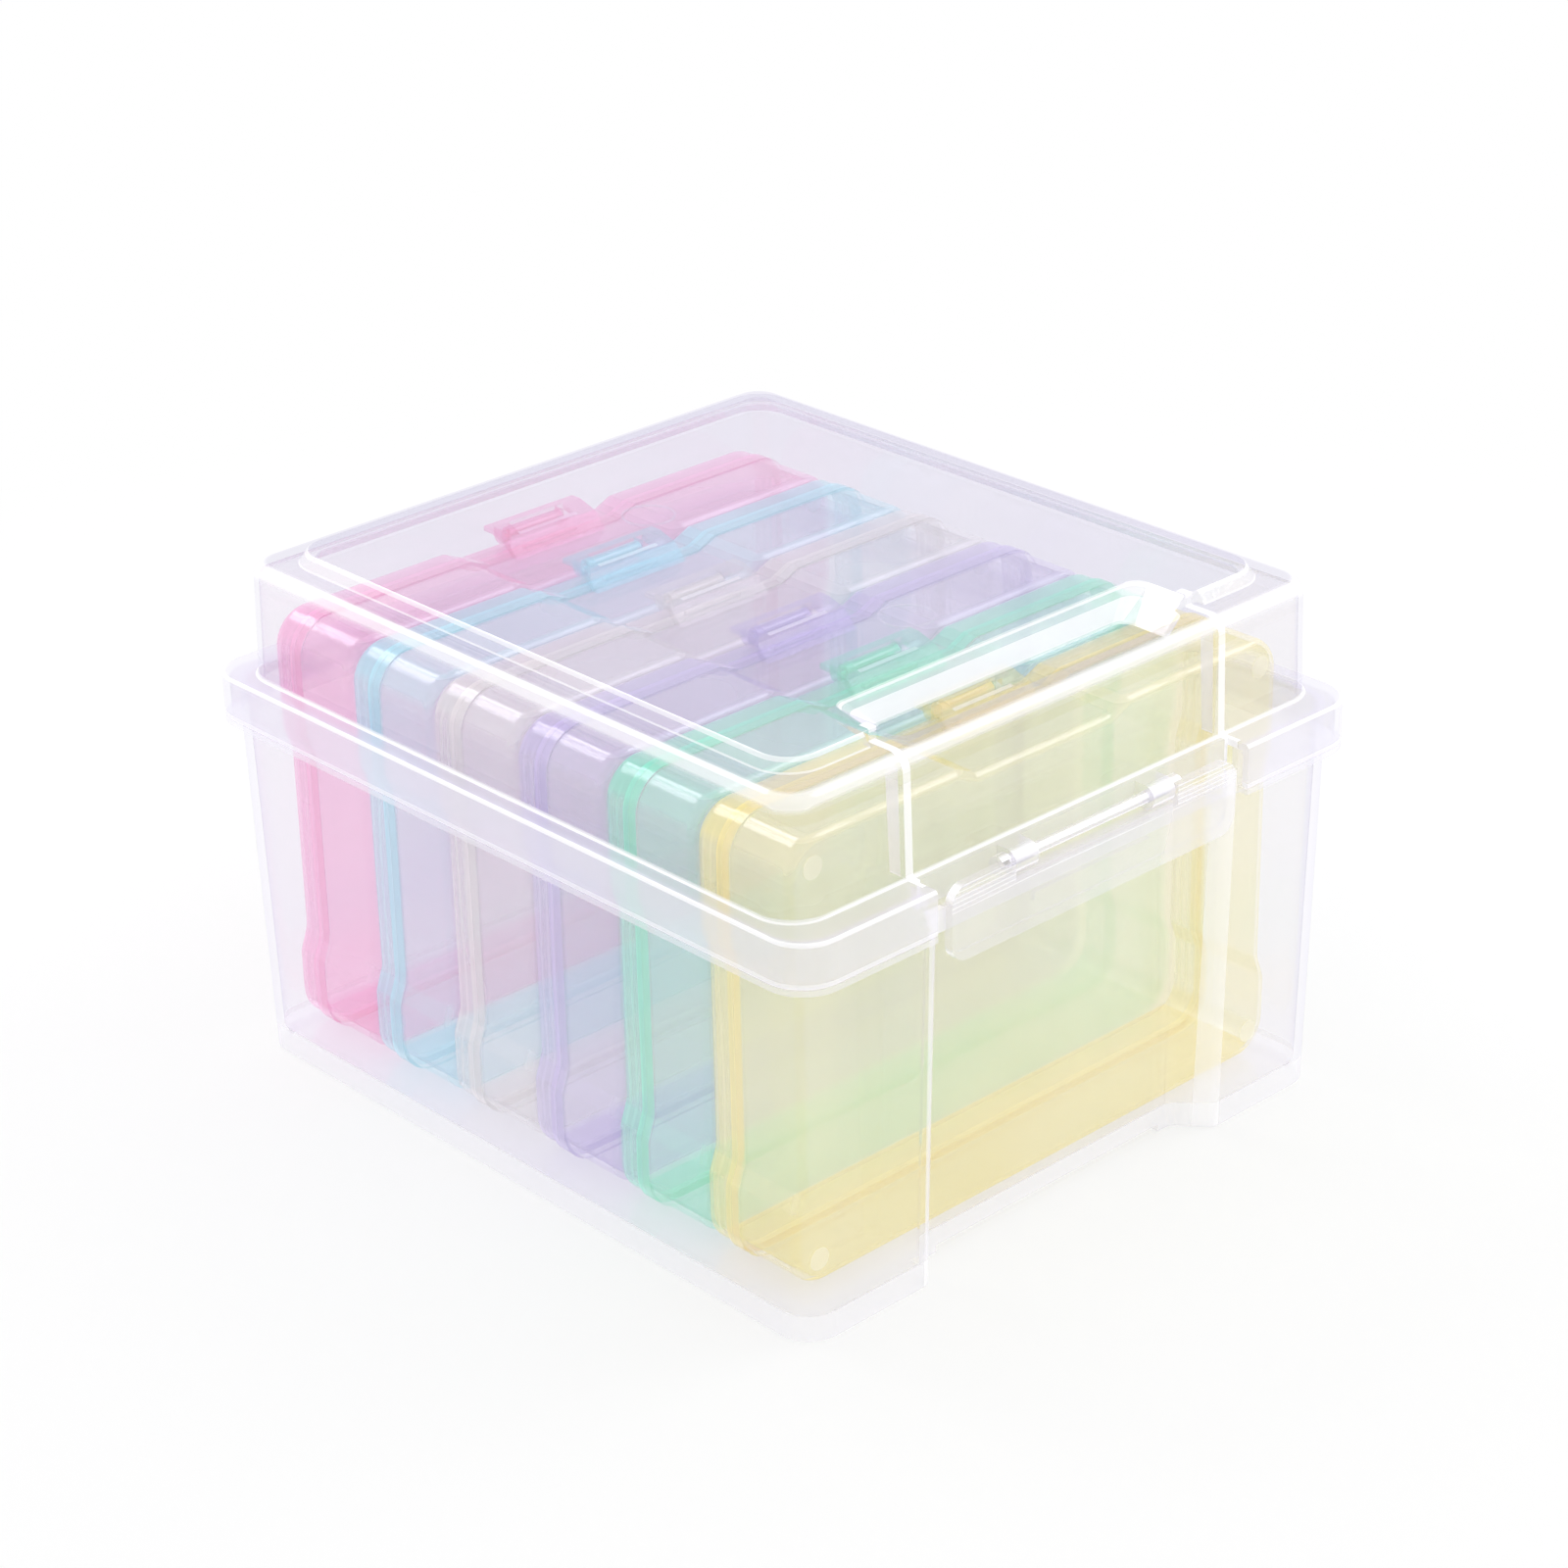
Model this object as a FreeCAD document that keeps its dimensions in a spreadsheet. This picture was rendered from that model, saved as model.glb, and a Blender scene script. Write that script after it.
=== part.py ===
import FreeCAD, Part
import os
import re

import Sketcher

# Craft storage box: a clear base and hinged lid with a front latch, holding six slim upright cases.
# Origin under the middle of the closed box, hinges included, +Y from latch to hinges, +Z up, millimetres.

SIZES = {
    # one case, closed
    "case_width": 168.0,
    "case_height": 117.8,
    "case_depth": 31.5,
    "case_wall": 1.5,
    "case_corner": 10.0,
    "case_edge_round": 3.0,
    "rear_shell_depth": 10.0,
    "seam_gap": 0.1,
    "rear_lip": 1.7,
    "front_lip": 2.6,
    "seam_lip_reach": 0.6,
    "waist_depth": 2.4,
    "waist_bottom": 21.0,
    "waist_top": 86.0,
    "waist_run": 6.5,
    "waist_round": 6.0,
    "top_notch_width": 46.0,
    "top_notch_drop": 2.6,
    "top_notch_run": 6.0,
    "top_notch_round": 2.0,
    "stud_radius": 3.0,
    "stud_height": 0.2,
    "stud_inset": 7.4,
    "ridge_width": 18.0,
    "ridge_height": 1.2,
    "ridge_depth": 1.4,
    # clasp of a case, its lengths counted from the rear of the case
    "clasp_width": 31.0,
    "clasp_rear_inset": 2.2,
    "clasp_thickness": 1.6,
    "clasp_flat": 5.6,
    "clasp_bend": 11.6,
    "clasp_bend_drop": 1.8,
    "clasp_bend_run": 1.0,
    "clasp_bend_fall": 1.3,
    "clasp_bend_round": 1.6,
    "clasp_toe": 15.6,
    "clasp_toe_wall": 2.2,
    "clasp_toe_gap": 0.5,
    "clasp_edge_round": 0.5,
    "clasp_window_width": 19.0,
    "clasp_window_depth": 4.6,
    "clasp_window_inset": 5.2,
    "clasp_boss_width": 18.0,
    "clasp_boss_radius": 1.9,
    "clasp_boss_rise": 2.8,
    "clasp_boss_inset": 3.8,
    "clasp_cheek": 2.2,
    "clasp_pin_radius": 1.0,
    # room round the cases and walls of the box
    "case_gap": 0.4,
    "stack_gap": 0.4,
    "rest_gap": 0.2,
    "side_room": 5.1,
    "rear_room": 5.8,
    "wall": 2.0,
    # base
    "floor_lift": 3.4,
    "floor_thickness": 2.0,
    "foot_ring": 3.0,
    "foot_corner": 9.0,
    "wall_growth": 2.3,
    "niche_mouth": 103.5,
    "niche_width": 88.0,
    "niche_depth": 8.8,
    "niche_mouth_round": 1.5,
    "niche_round": 4.0,
    "niche_sill": 2.0,
    "lip_drop": 29.0,
    "lip_thickness": 1.5,
    "side_lip": 2.6,
    "end_lip": 3.2,
    "flange_corner": 11.0,
    "dip_depth": 5.4,
    # lid
    "rim_gap": 0.3,
    "skirt_height": 9.6,
    "skirt_wall": 1.8,
    "flange_thickness": 1.8,
    "flange_edge_round": 1.2,
    "side_ledge": 5.5,
    "end_ledge": 9.0,
    "headroom": 15.0,
    "dome_corner": 10.0,
    "hollow_corner": 6.0,
    "dome_shrink": 0.8,
    "dome_edge_round": 4.5,
    "panel_side_inset": 8.0,
    "panel_end_inset": 9.0,
    "panel_corner": 11.0,
    "panel_height": 3.2,
    "panel_slope": 2.5,
    "panel_edge_round": 0.8,
    # grip well and its gussets
    "well_width": 87.0,
    "well_flare": 9.5,
    "well_wall": 1.8,
    "well_depth": 7.9,
    "well_front_inset": 7.5,
    "well_mouth_length": 20.2,
    "well_floor_length": 16.2,
    "well_corner": 4.0,
    "gusset_spread": 107.2,
    "gusset_thickness": 1.6,
    "gusset_top_reach": 7.0,
    "gusset_foot_reach": 5.6,
    # latch and its knuckles
    "notch_ledge": 2.2,
    "latch_width": 98.0,
    "latch_side_gap": 4.5,
    "latch_hang": 7.8,
    "latch_top_drop": 1.5,
    "latch_thickness": 1.6,
    "latch_rim": 0.8,
    "latch_rim_wall": 1.6,
    "latch_corner": 5.0,
    "latch_axis_drop": 3.2,
    "latch_axis_inset": 3.5,
    "latch_rod_radius": 1.5,
    "latch_boss_radius": 2.5,
    "latch_boss_width": 3.0,
    "knuckle_radius": 3.1,
    "knuckle_width": 7.6,
    "knuckle_spread": 39.6,
    "knuckle_gap": 0.5,
    "catch_width": 40.0,
    "catch_height": 2.4,
    "catch_gap": 0.25,
    # rear hinges
    "hinge_spread": 110.0,
    "hinge_radius": 3.0,
    "hinge_pin_radius": 1.5,
    "hinge_knuckle": 12.0,
    "hinge_ear": 4.0,
    "hinge_gap": 0.4,
    # fits
    "running_fit": 0.06,
    "overrun": 1.0,
}

DERIVED = {
    "case_count": "6",
    "foot_width": "case_width + 2 * (side_room + wall)",
    "stack_depth": "case_count * case_depth + (case_count - 1) * case_gap",
    "foot_depth": "niche_depth + stack_gap + stack_depth + rear_room + 2 * wall",
    "band_width": "foot_width + 2 * wall_growth",
    "band_depth": "foot_depth + 2 * wall_growth",
    "flange_width": "band_width + 2 * side_lip",
    "flange_depth": "band_depth + 2 * end_lip",
    "dome_width": "flange_width - 2 * side_ledge",
    "dome_depth": "flange_depth - 2 * end_ledge",
    "panel_width": "dome_width - 2 * panel_side_inset",
    "panel_depth": "dome_depth - 2 * panel_end_inset",
    "floor_z": "floor_lift + floor_thickness",
    "case_z": "floor_z + rest_gap + seam_lip_reach",
    "case_top": "case_z + case_height",
    "lip_z": "case_top - lip_drop",
    "shelf_z": "lip_z + lip_thickness",
    "skirt_z": "shelf_z + rim_gap",
    "flange_under": "skirt_z + skirt_height",
    "flange_z": "flange_under + flange_thickness",
    "rim_z": "flange_under - rim_gap",
    "border_z": "case_top + headroom",
    "panel_z": "border_z + panel_height",
    "base_draft": "atan(wall_growth / lip_z)",
    "dome_draft": "atan(dome_shrink / (border_z - flange_z))",
    "panel_draft": "atan(panel_slope / panel_height)",
    "stack_front": "foot_depth / 2 - niche_depth - wall - stack_gap",
    "well_front": "dome_depth / 2 - well_front_inset",
    "well_floor_z": "panel_z - well_depth",
    "notch_width": "latch_width + 2 * latch_side_gap",
    "latch_axis_y": "latch_axis_inset - flange_depth / 2",
    "latch_axis_z": "flange_z - latch_axis_drop",
    "latch_top": "flange_z - latch_top_drop",
    "latch_bottom": "lip_z - latch_hang",
    "latch_back": "latch_thickness + latch_rim",
    "knuckle_edge": "knuckle_spread / 2 + knuckle_width + knuckle_gap",
    "hinge_y": "flange_depth / 2 + hinge_gap + hinge_radius",
    "hinge_z": "lip_z + hinge_radius",
    "hinge_length": "hinge_knuckle + 2 * (hinge_gap + hinge_ear)",
    "frame_shift": "hinge_gap / 2 + hinge_radius",
    "notch_floor": "case_height - top_notch_drop",
    "clasp_axis_z": "notch_floor + clasp_boss_rise",
    "clasp_under": "clasp_axis_z + clasp_boss_radius + hinge_gap",
    "clasp_top": "clasp_under + clasp_thickness",
}

CASE_COLOURS = ["yellow", "green", "purple", "clear", "blue", "pink"]

# Points closer than this lie in one plane.
TOUCHING = 1e-4

doc = FreeCAD.newDocument("craft_storage_box")
sheet = doc.addObject("Spreadsheet::Sheet", "Sizes")
for row, (size_name, size) in enumerate(SIZES.items(), start=1):
    sheet.set(f"A{row}", size_name)
    sheet.set(f"B{row}", str(size))
    sheet.setAlias(f"B{row}", size_name)
doc.recompute()


def expand(text):
    def swap(found):
        word = found.group(0)
        if word in SIZES:
            return f"Sizes.{word}"
        if word in DERIVED:
            return f"({expand(DERIVED[word])})"
        return word

    return re.sub(r"[a-z_]+", swap, text)


def number(text):
    return float(sheet.evalExpression(expand(text)))


def bind(item, path, text):
    item.setExpression(path, expand(text))


def new_body(name):
    body = doc.addObject("PartDesign::Body", name)
    body.Label = name
    return body


def origin_plane(body, role):
    return next(item for item in body.Origin.OriginFeatures if item.Role == role)


def new_sketch(body, name, role, offset):
    sketch = body.newObject("Sketcher::SketchObject", name)
    sketch.AttachmentSupport = [(origin_plane(body, role), "")]
    sketch.MapMode = "FlatFace"
    bind(sketch, "AttachmentOffset.Base.z", offset)
    return sketch


def place_rule(kind, geometry, position, text):
    # One coordinate of a sketch point, tied to the sheet.
    place = number(text)
    if text == "0":
        axis = -2 if kind == "DistanceX" else -1
        return Sketcher.Constraint("PointOnObject", geometry, position, axis), None
    if place < 0:
        return Sketcher.Constraint(kind, geometry, position, -1, 1, -place), f"-({text})"
    return Sketcher.Constraint(kind, -1, 1, geometry, position, place), text


def add_rules(sketch, rules):
    places = sketch.addConstraint([rule for rule, text in rules])
    for place, (rule, text) in zip(places, rules):
        if text:
            bind(sketch, f"Constraints[{place}]", text)


def add_circle(sketch, x_text, y_text, radius_text):
    centre = FreeCAD.Vector(number(x_text), number(y_text), 0)
    circle = sketch.addGeometry(Part.Circle(centre, FreeCAD.Vector(0, 0, 1), number(radius_text)))
    add_rules(sketch, [
        (Sketcher.Constraint("Radius", circle, number(radius_text)), radius_text),
        place_rule("DistanceX", circle, 3, x_text),
        place_rule("DistanceY", circle, 3, y_text),
    ])


def rounded_corner(before, corner, after, radius):
    # Start, middle and end of the arc that rounds one corner of an outline.
    back = FreeCAD.Vector(before - corner).normalize()
    ahead = FreeCAD.Vector(after - corner).normalize()
    middle = (back + ahead).normalize()
    sine = middle.cross(back).Length
    reach = radius * middle.dot(back) / sine
    return corner + back * reach, corner + middle * (radius / sine - radius), corner + ahead * reach


def add_outline(sketch, corners):
    # Corners are (x, y, rounding); guide lines hold the sharp corners and the outline lies on them.
    points = [FreeCAD.Vector(number(x), number(y), 0) for x, y, rounding in corners]
    count = len(points)
    after = [points[(index + 1) % count] for index in range(count)]
    arcs = []
    for index, (x, y, rounding) in enumerate(corners):
        if rounding:
            arcs.append(rounded_corner(points[index - 1], points[index], after[index], number(rounding)))
        else:
            arcs.append((points[index], None, points[index]))
    guides = sketch.addGeometry([Part.LineSegment(*ends) for ends in zip(points, after)], True)
    lines = sketch.addGeometry(
        [Part.LineSegment(arcs[index][2], arcs[(index + 1) % count][0]) for index in range(count)], False
    )
    rules = []
    for index, (x, y, rounding) in enumerate(corners):
        guide = guides[index]
        rules.append((Sketcher.Constraint("Coincident", guides[index - 1], 2, guide, 1), None))
        rules.append(place_rule("DistanceX", guide, 1, x))
        rules.append(place_rule("DistanceY", guide, 1, y))
        if not rounding:
            rules.append((Sketcher.Constraint("Coincident", lines[index - 1], 2, guide, 1), None))
            rules.append((Sketcher.Constraint("Coincident", lines[index], 1, guide, 1), None))
            continue
        arc = sketch.addGeometry(Part.Arc(*arcs[index]), False)
        turn = (points[index] - points[index - 1]).cross(after[index] - points[index]).z
        first, last = (1, 2) if turn > 0 else (2, 1)
        rules.append((Sketcher.Constraint("Tangent", lines[index - 1], 2, arc, first), None))
        rules.append((Sketcher.Constraint("Tangent", arc, last, lines[index], 1), None))
        rules.append((Sketcher.Constraint("Radius", arc, number(rounding)), rounding))
        rules.append((Sketcher.Constraint("PointOnObject", lines[index - 1], 2, guides[index - 1]), None))
        rules.append((Sketcher.Constraint("PointOnObject", lines[index], 1, guide), None))
    add_rules(sketch, rules)


def new_feature(body, kind, name):
    feature = body.newObject(f"PartDesign::{kind}", name)
    feature.Refine = False
    return feature


def check_volume(body, feature, before, grows):
    # A cut that points away from the solid removes nothing, so the volume tells.
    doc.recompute()
    change = body.Shape.Volume - before
    if (change > 0) != grows:
        raise RuntimeError(f"{body.Label}: {feature.Label} left the volume at {body.Shape.Volume:.3f}")


def extrude(body, kind, sketch, name, length, draft=None, reverse=False, middle=False):
    before = body.Shape.Volume if body.Tip else 0.0
    feature = new_feature(body, kind, name)
    feature.Profile = sketch
    bind(feature, "Length", length)
    if draft:
        bind(feature, "TaperAngle", draft)
    feature.Reversed = reverse
    feature.Midplane = middle
    check_volume(body, feature, before, kind == "Pad")


def loft(body, kind, first, second, name):
    before = body.Shape.Volume
    feature = new_feature(body, kind, name)
    feature.Profile = first
    feature.Sections = [second]
    feature.Ruled = True
    check_volume(body, feature, before, kind == "AdditiveLoft")


def round_edges(body, name, radius, axis, place):
    # Rounds the edges that lie whole in one plane square to an axis, but none on the plane of symmetry.
    tip = body.Tip
    names = []
    for index, edge in enumerate(tip.Shape.Edges, start=1):
        box = edge.BoundBox
        low = getattr(box, f"{axis}Min")
        high = getattr(box, f"{axis}Max")
        in_plane = abs(low - place) < TOUCHING and abs(high - place) < TOUCHING
        on_symmetry = abs(box.XMin) < TOUCHING and abs(box.XMax) < TOUCHING
        if in_plane and not on_symmetry:
            names.append(f"Edge{index}")
    feature = new_feature(body, "Fillet", name)
    feature.Base = (tip, names)
    bind(feature, "Radius", radius)
    doc.recompute()


def mirror_half(body, name):
    before = body.Shape.Volume
    feature = new_feature(body, "Mirrored", name)
    feature.TransformMode = "Whole shape"
    feature.MirrorPlane = (origin_plane(body, "YZ_Plane"), [""])
    body.Tip = feature
    check_volume(body, feature, before, True)


def tidy_faces(body):
    # Joins the faces that several features left lying in one surface.
    body.Tip.Refine = True
    doc.recompute()


def rectangle(x_low, x_high, y_low, y_high, rounding=None):
    return [
        (x_low, y_low, rounding),
        (x_high, y_low, rounding),
        (x_high, y_high, rounding),
        (x_low, y_high, rounding),
    ]


def centred(width, depth, rounding=None):
    half_x = f"({width}) / 2"
    half_y = f"({depth}) / 2"
    return rectangle(f"-{half_x}", half_x, f"-{half_y}", half_y, rounding)


def outline_sketch(body, name, role, offset, corners):
    sketch = new_sketch(body, name, role, offset)
    add_outline(sketch, corners)
    return sketch


def circle_sketch(body, name, role, offset, x_text, y_text, radius):
    sketch = new_sketch(body, name, role, offset)
    add_circle(sketch, x_text, y_text, radius)
    return sketch


# The foot outline has a niche in its front between two pilasters, with leaning sides.
NICHE_LEAN = "(niche_mouth - niche_width) / 2 / niche_depth"


def foot_outline(inset, mouth_round, niche_round, corner):
    half_x = f"foot_width / 2 - ({inset})"
    back = f"foot_depth / 2 - ({inset})"
    front = f"-({back})"
    panel = f"niche_depth + ({inset}) - foot_depth / 2"
    side = f"niche_mouth / 2 + ({inset}) * (sqrt(1 + ({NICHE_LEAN})^2) - {NICHE_LEAN})"
    inner = f"{side} - niche_depth * {NICHE_LEAN}"
    right = [
        (inner, panel, niche_round),
        (side, front, mouth_round),
        (half_x, front, corner),
        (half_x, back, corner),
    ]
    left = [(f"-({x})", y, rounding) for x, y, rounding in reversed(right)]
    return right + left


def make_base():
    body = new_body("box_base")
    foot = outline_sketch(body, "foot_plan", "XY_Plane", "0", foot_outline(
        "0", "niche_mouth_round + wall", "niche_round", "foot_corner"))
    extrude(body, "Pad", foot, "walls", "lip_z", "base_draft")
    lip = outline_sketch(body, "lip_plan", "XY_Plane", "lip_z",
                         centred("flange_width", "flange_depth", "flange_corner"))
    extrude(body, "Pad", lip, "lip", "lip_thickness")
    notch = outline_sketch(body, "lip_notch_plan", "XY_Plane", "lip_z", rectangle(
        "-notch_width / 2", "notch_width / 2", "-flange_depth / 2 - overrun", "-band_depth / 2"))
    extrude(body, "Pocket", notch, "lip_notch", "lip_thickness + overrun", reverse=True)
    band = outline_sketch(body, "band_plan", "XY_Plane", "lip_z",
                          centred("band_width", "band_depth", "foot_corner + wall_growth"))
    extrude(body, "Pad", band, "band", "rim_z - lip_z")
    hollow = outline_sketch(body, "hollow_plan", "XY_Plane", "floor_z", foot_outline(
        "wall", "niche_mouth_round", "niche_round + wall", "foot_corner - wall"))
    extrude(body, "Pocket", hollow, "hollow", "shelf_z - floor_z", "base_draft", reverse=True)
    mouth = outline_sketch(body, "mouth_plan", "XY_Plane", "shelf_z", centred(
        "band_width - 2 * wall", "band_depth - 2 * wall", "foot_corner + wall_growth - wall"))
    extrude(body, "Pocket", mouth, "mouth", "rim_z - shelf_z + overrun", reverse=True)
    under = outline_sketch(body, "underside_plan", "XY_Plane", "0", foot_outline(
        "foot_ring", "niche_mouth_round", "niche_round + foot_ring", "foot_corner - foot_ring"))
    extrude(body, "Pocket", under, "underside", "floor_lift", reverse=True)
    sill = outline_sketch(body, "sill_plan", "XY_Plane", "0", rectangle(
        "niche_round - niche_width / 2", "niche_width / 2 - niche_round",
        "niche_depth - foot_depth / 2 - overrun", "niche_depth + foot_ring - foot_depth / 2 + overrun"))
    extrude(body, "Pocket", sill, "sill", "niche_sill", reverse=True)
    dip = outline_sketch(body, "rim_dip_plan", "XY_Plane", "rim_z - dip_depth", rectangle(
        "-notch_width / 2", "notch_width / 2",
        "-band_depth / 2 - overrun", "wall + overrun - band_depth / 2"))
    extrude(body, "Pocket", dip, "rim_dip", "dip_depth + overrun", reverse=True)
    ear_web = outline_sketch(body, "ear_web_plan", "YZ_Plane", "0", rectangle(
        "flange_depth / 2 - end_lip", "hinge_y", "lip_z", "shelf_z"))
    extrude(body, "Pad", ear_web, "ear_web", "hinge_spread + hinge_length", middle=True)
    ears = circle_sketch(body, "ear_plan", "YZ_Plane", "0", "hinge_y", "hinge_z", "hinge_radius")
    extrude(body, "Pad", ears, "ears", "hinge_spread + hinge_length", middle=True)
    ear_gap = new_sketch(body, "ear_gap_plan", "XY_Plane", "lip_z - overrun")
    knuckle_room = "(hinge_knuckle / 2 + hinge_gap)"
    for middle, reach in (
        ("-hinge_spread / 2", knuckle_room),
        ("0", "(hinge_spread - hinge_length) / 2"),
        ("hinge_spread / 2", knuckle_room),
    ):
        add_outline(ear_gap, rectangle(
            f"{middle} - {reach}", f"{middle} + {reach}",
            "flange_depth / 2", "hinge_y + hinge_radius + overrun"))
    extrude(body, "Pocket", ear_gap, "ear_gaps", "2 * (hinge_radius + overrun)", reverse=True)
    bore = circle_sketch(body, "hinge_bore_plan", "YZ_Plane", "0", "hinge_y", "hinge_z",
                         "hinge_pin_radius + running_fit")
    extrude(body, "Pocket", bore, "hinge_bore", "hinge_spread + hinge_length + overrun", middle=True)
    tidy_faces(body)
    return body


def well_outline(half_width, front, length, grow):
    return rectangle(
        f"-({half_width} + {grow})", f"{half_width} + {grow}",
        f"-({front} + {grow})", f"{length} + {grow} - {front}", "well_corner",
    )


def make_lid():
    body = new_body("box_lid")
    flange = outline_sketch(body, "flange_plan", "XY_Plane", "skirt_z",
                            centred("flange_width", "flange_depth", "flange_corner"))
    extrude(body, "Pad", flange, "flange", "flange_z - skirt_z")
    dome = outline_sketch(body, "dome_plan", "XY_Plane", "flange_z",
                          centred("dome_width", "dome_depth", "dome_corner"))
    extrude(body, "Pad", dome, "dome", "border_z - flange_z", "-dome_draft")
    round_edges(body, "dome_edge", "dome_edge_round", "Z", number("border_z"))
    round_edges(body, "flange_edge", "flange_edge_round", "Z", number("flange_z"))
    skirt = outline_sketch(body, "skirt_plan", "XY_Plane", "skirt_z", centred(
        "flange_width - 2 * skirt_wall", "flange_depth - 2 * skirt_wall", "flange_corner - skirt_wall"))
    extrude(body, "Pocket", skirt, "skirt", "skirt_height", reverse=True)
    add_latch_knuckles(body)
    add_rear_knuckles(body)
    panel = outline_sketch(body, "panel_plan", "XY_Plane", "border_z",
                           centred("panel_width", "panel_depth", "panel_corner"))
    extrude(body, "Pad", panel, "panel", "panel_height", "-panel_draft")
    round_edges(body, "panel_edge", "panel_edge_round", "Z", number("panel_z"))
    hollow = outline_sketch(body, "hollow_plan", "XY_Plane", "flange_under", centred(
        "dome_width - 2 * wall", "dome_depth - 2 * wall", "hollow_corner"))
    extrude(body, "Pocket", hollow, "hollow", "border_z - wall - flange_under", "-dome_draft", reverse=True)
    round_edges(body, "hollow_edge", "dome_edge_round - wall", "Z", number("border_z - wall"))
    raised = outline_sketch(body, "raised_plan", "XY_Plane", "border_z - wall", centred(
        "panel_width - 2 * wall", "panel_depth - 2 * wall", "panel_corner - wall"))
    extrude(body, "Pocket", raised, "raised", "panel_height", "-panel_draft", reverse=True)
    add_gussets(body)
    add_well(body)
    tidy_faces(body)
    return body


def add_latch_knuckles(body):
    # The flange is cut back for the latch, and an apron closes the cut inside the base's band.
    apron = outline_sketch(body, "apron_plan", "XY_Plane", "flange_under", rectangle(
        "-notch_width / 2", "notch_width / 2",
        "-dome_depth / 2 - notch_ledge", "skirt_wall - dome_depth / 2 - notch_ledge"))
    extrude(body, "Pad", apron, "apron", "dip_depth", reverse=True)
    notch = outline_sketch(body, "latch_notch_plan", "XY_Plane", "skirt_z", rectangle(
        "-notch_width / 2", "notch_width / 2",
        "-flange_depth / 2 - overrun", "-dome_depth / 2 - notch_ledge"))
    extrude(body, "Pocket", notch, "latch_notch", "flange_z - skirt_z + overrun", reverse=True)
    arms = outline_sketch(body, "arm_plan", "YZ_Plane", "0", rectangle(
        "latch_axis_y", "skirt_wall / 2 - dome_depth / 2 - notch_ledge",
        "latch_axis_z - latch_rod_radius", "flange_z"))
    extrude(body, "Pad", arms, "arms", "knuckle_spread + 2 * knuckle_width", middle=True)
    knuckles = circle_sketch(body, "knuckle_plan", "YZ_Plane", "0",
                             "latch_axis_y", "latch_axis_z", "knuckle_radius")
    extrude(body, "Pad", knuckles, "knuckles", "knuckle_spread + 2 * knuckle_width", middle=True)
    gap = outline_sketch(body, "knuckle_gap_plan", "XY_Plane", "flange_z + overrun", rectangle(
        "-knuckle_spread / 2", "knuckle_spread / 2",
        "latch_axis_y - knuckle_radius - overrun", "-dome_depth / 2 - notch_ledge"))
    extrude(body, "Pocket", gap, "knuckle_gap", "latch_axis_drop + knuckle_radius + 2 * overrun")
    bore = circle_sketch(body, "rod_bore_plan", "YZ_Plane", "0", "latch_axis_y", "latch_axis_z",
                         "latch_rod_radius + running_fit")
    extrude(body, "Pocket", bore, "rod_bore", "2 * knuckle_edge", middle=True)


def add_rear_knuckles(body):
    leaves = outline_sketch(body, "leaf_plan", "YZ_Plane", "0", rectangle(
        "flange_depth / 2 - skirt_wall / 2", "hinge_y", "hinge_z", "hinge_z + hinge_radius"))
    extrude(body, "Pad", leaves, "leaves", "hinge_spread + hinge_knuckle", middle=True)
    barrels = circle_sketch(body, "barrel_plan", "YZ_Plane", "0", "hinge_y", "hinge_z", "hinge_radius")
    extrude(body, "Pad", barrels, "barrels", "hinge_spread + hinge_knuckle", middle=True)
    gap = outline_sketch(body, "barrel_gap_plan", "XY_Plane", "lip_z - overrun", rectangle(
        "(hinge_knuckle - hinge_spread) / 2", "(hinge_spread - hinge_knuckle) / 2",
        "flange_depth / 2", "hinge_y + hinge_radius + overrun"))
    extrude(body, "Pocket", gap, "barrel_gap", "2 * (hinge_radius + overrun)", reverse=True)
    for name, place in (("left", "-hinge_spread / 2"), ("right", "hinge_spread / 2")):
        pin = circle_sketch(body, f"{name}_pin_plan", "YZ_Plane", place,
                            "hinge_y", "hinge_z", "hinge_pin_radius")
        extrude(body, "Pad", pin, f"{name}_pin", "hinge_length", middle=True)


def add_gussets(body):
    for name, side in (("left", "-"), ("right", "")):
        place = f"{side}gusset_spread / 2"
        gusset = outline_sketch(body, f"{name}_gusset_plan", "YZ_Plane", place, [
            ("wall / 2 - dome_depth / 2", "flange_z", None),
            ("gusset_foot_reach - dome_depth / 2", "flange_z", None),
            ("gusset_top_reach - dome_depth / 2", "border_z - wall / 2", None),
            ("dome_shrink + wall / 2 - dome_depth / 2", "border_z - wall / 2", "dome_edge_round - wall / 2"),
        ])
        extrude(body, "Pad", gusset, f"{name}_gusset", "gusset_thickness", middle=True)


def add_well(body):
    block_foot = outline_sketch(body, "well_block_foot", "XY_Plane", "well_floor_z - well_wall", well_outline(
        "well_width / 2", "well_front", "well_floor_length", "well_wall"))
    block_top = outline_sketch(body, "well_block_top", "XY_Plane", "panel_z - wall / 2", well_outline(
        "(well_width / 2 + well_flare)", "well_front", "well_mouth_length", "well_wall"))
    loft(body, "AdditiveLoft", block_foot, block_top, "well_block")
    trim = outline_sketch(body, "well_trim_plan", "XY_Plane", "border_z", rectangle(
        "-(well_width / 2 + well_flare + 2 * well_wall)", "well_width / 2 + well_flare + 2 * well_wall",
        "-dome_depth / 2", "panel_slope - panel_depth / 2"))
    extrude(body, "Pocket", trim, "well_trim", "panel_height + overrun", reverse=True)
    well_foot = outline_sketch(body, "well_foot", "XY_Plane", "well_floor_z", well_outline(
        "well_width / 2", "well_front", "well_floor_length", "0"))
    well_top = outline_sketch(body, "well_top", "XY_Plane", "panel_z + overrun", well_outline(
        "(well_width / 2 + well_flare)", "well_front", "well_mouth_length", "0"))
    loft(body, "SubtractiveLoft", well_foot, well_top, "well")


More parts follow.
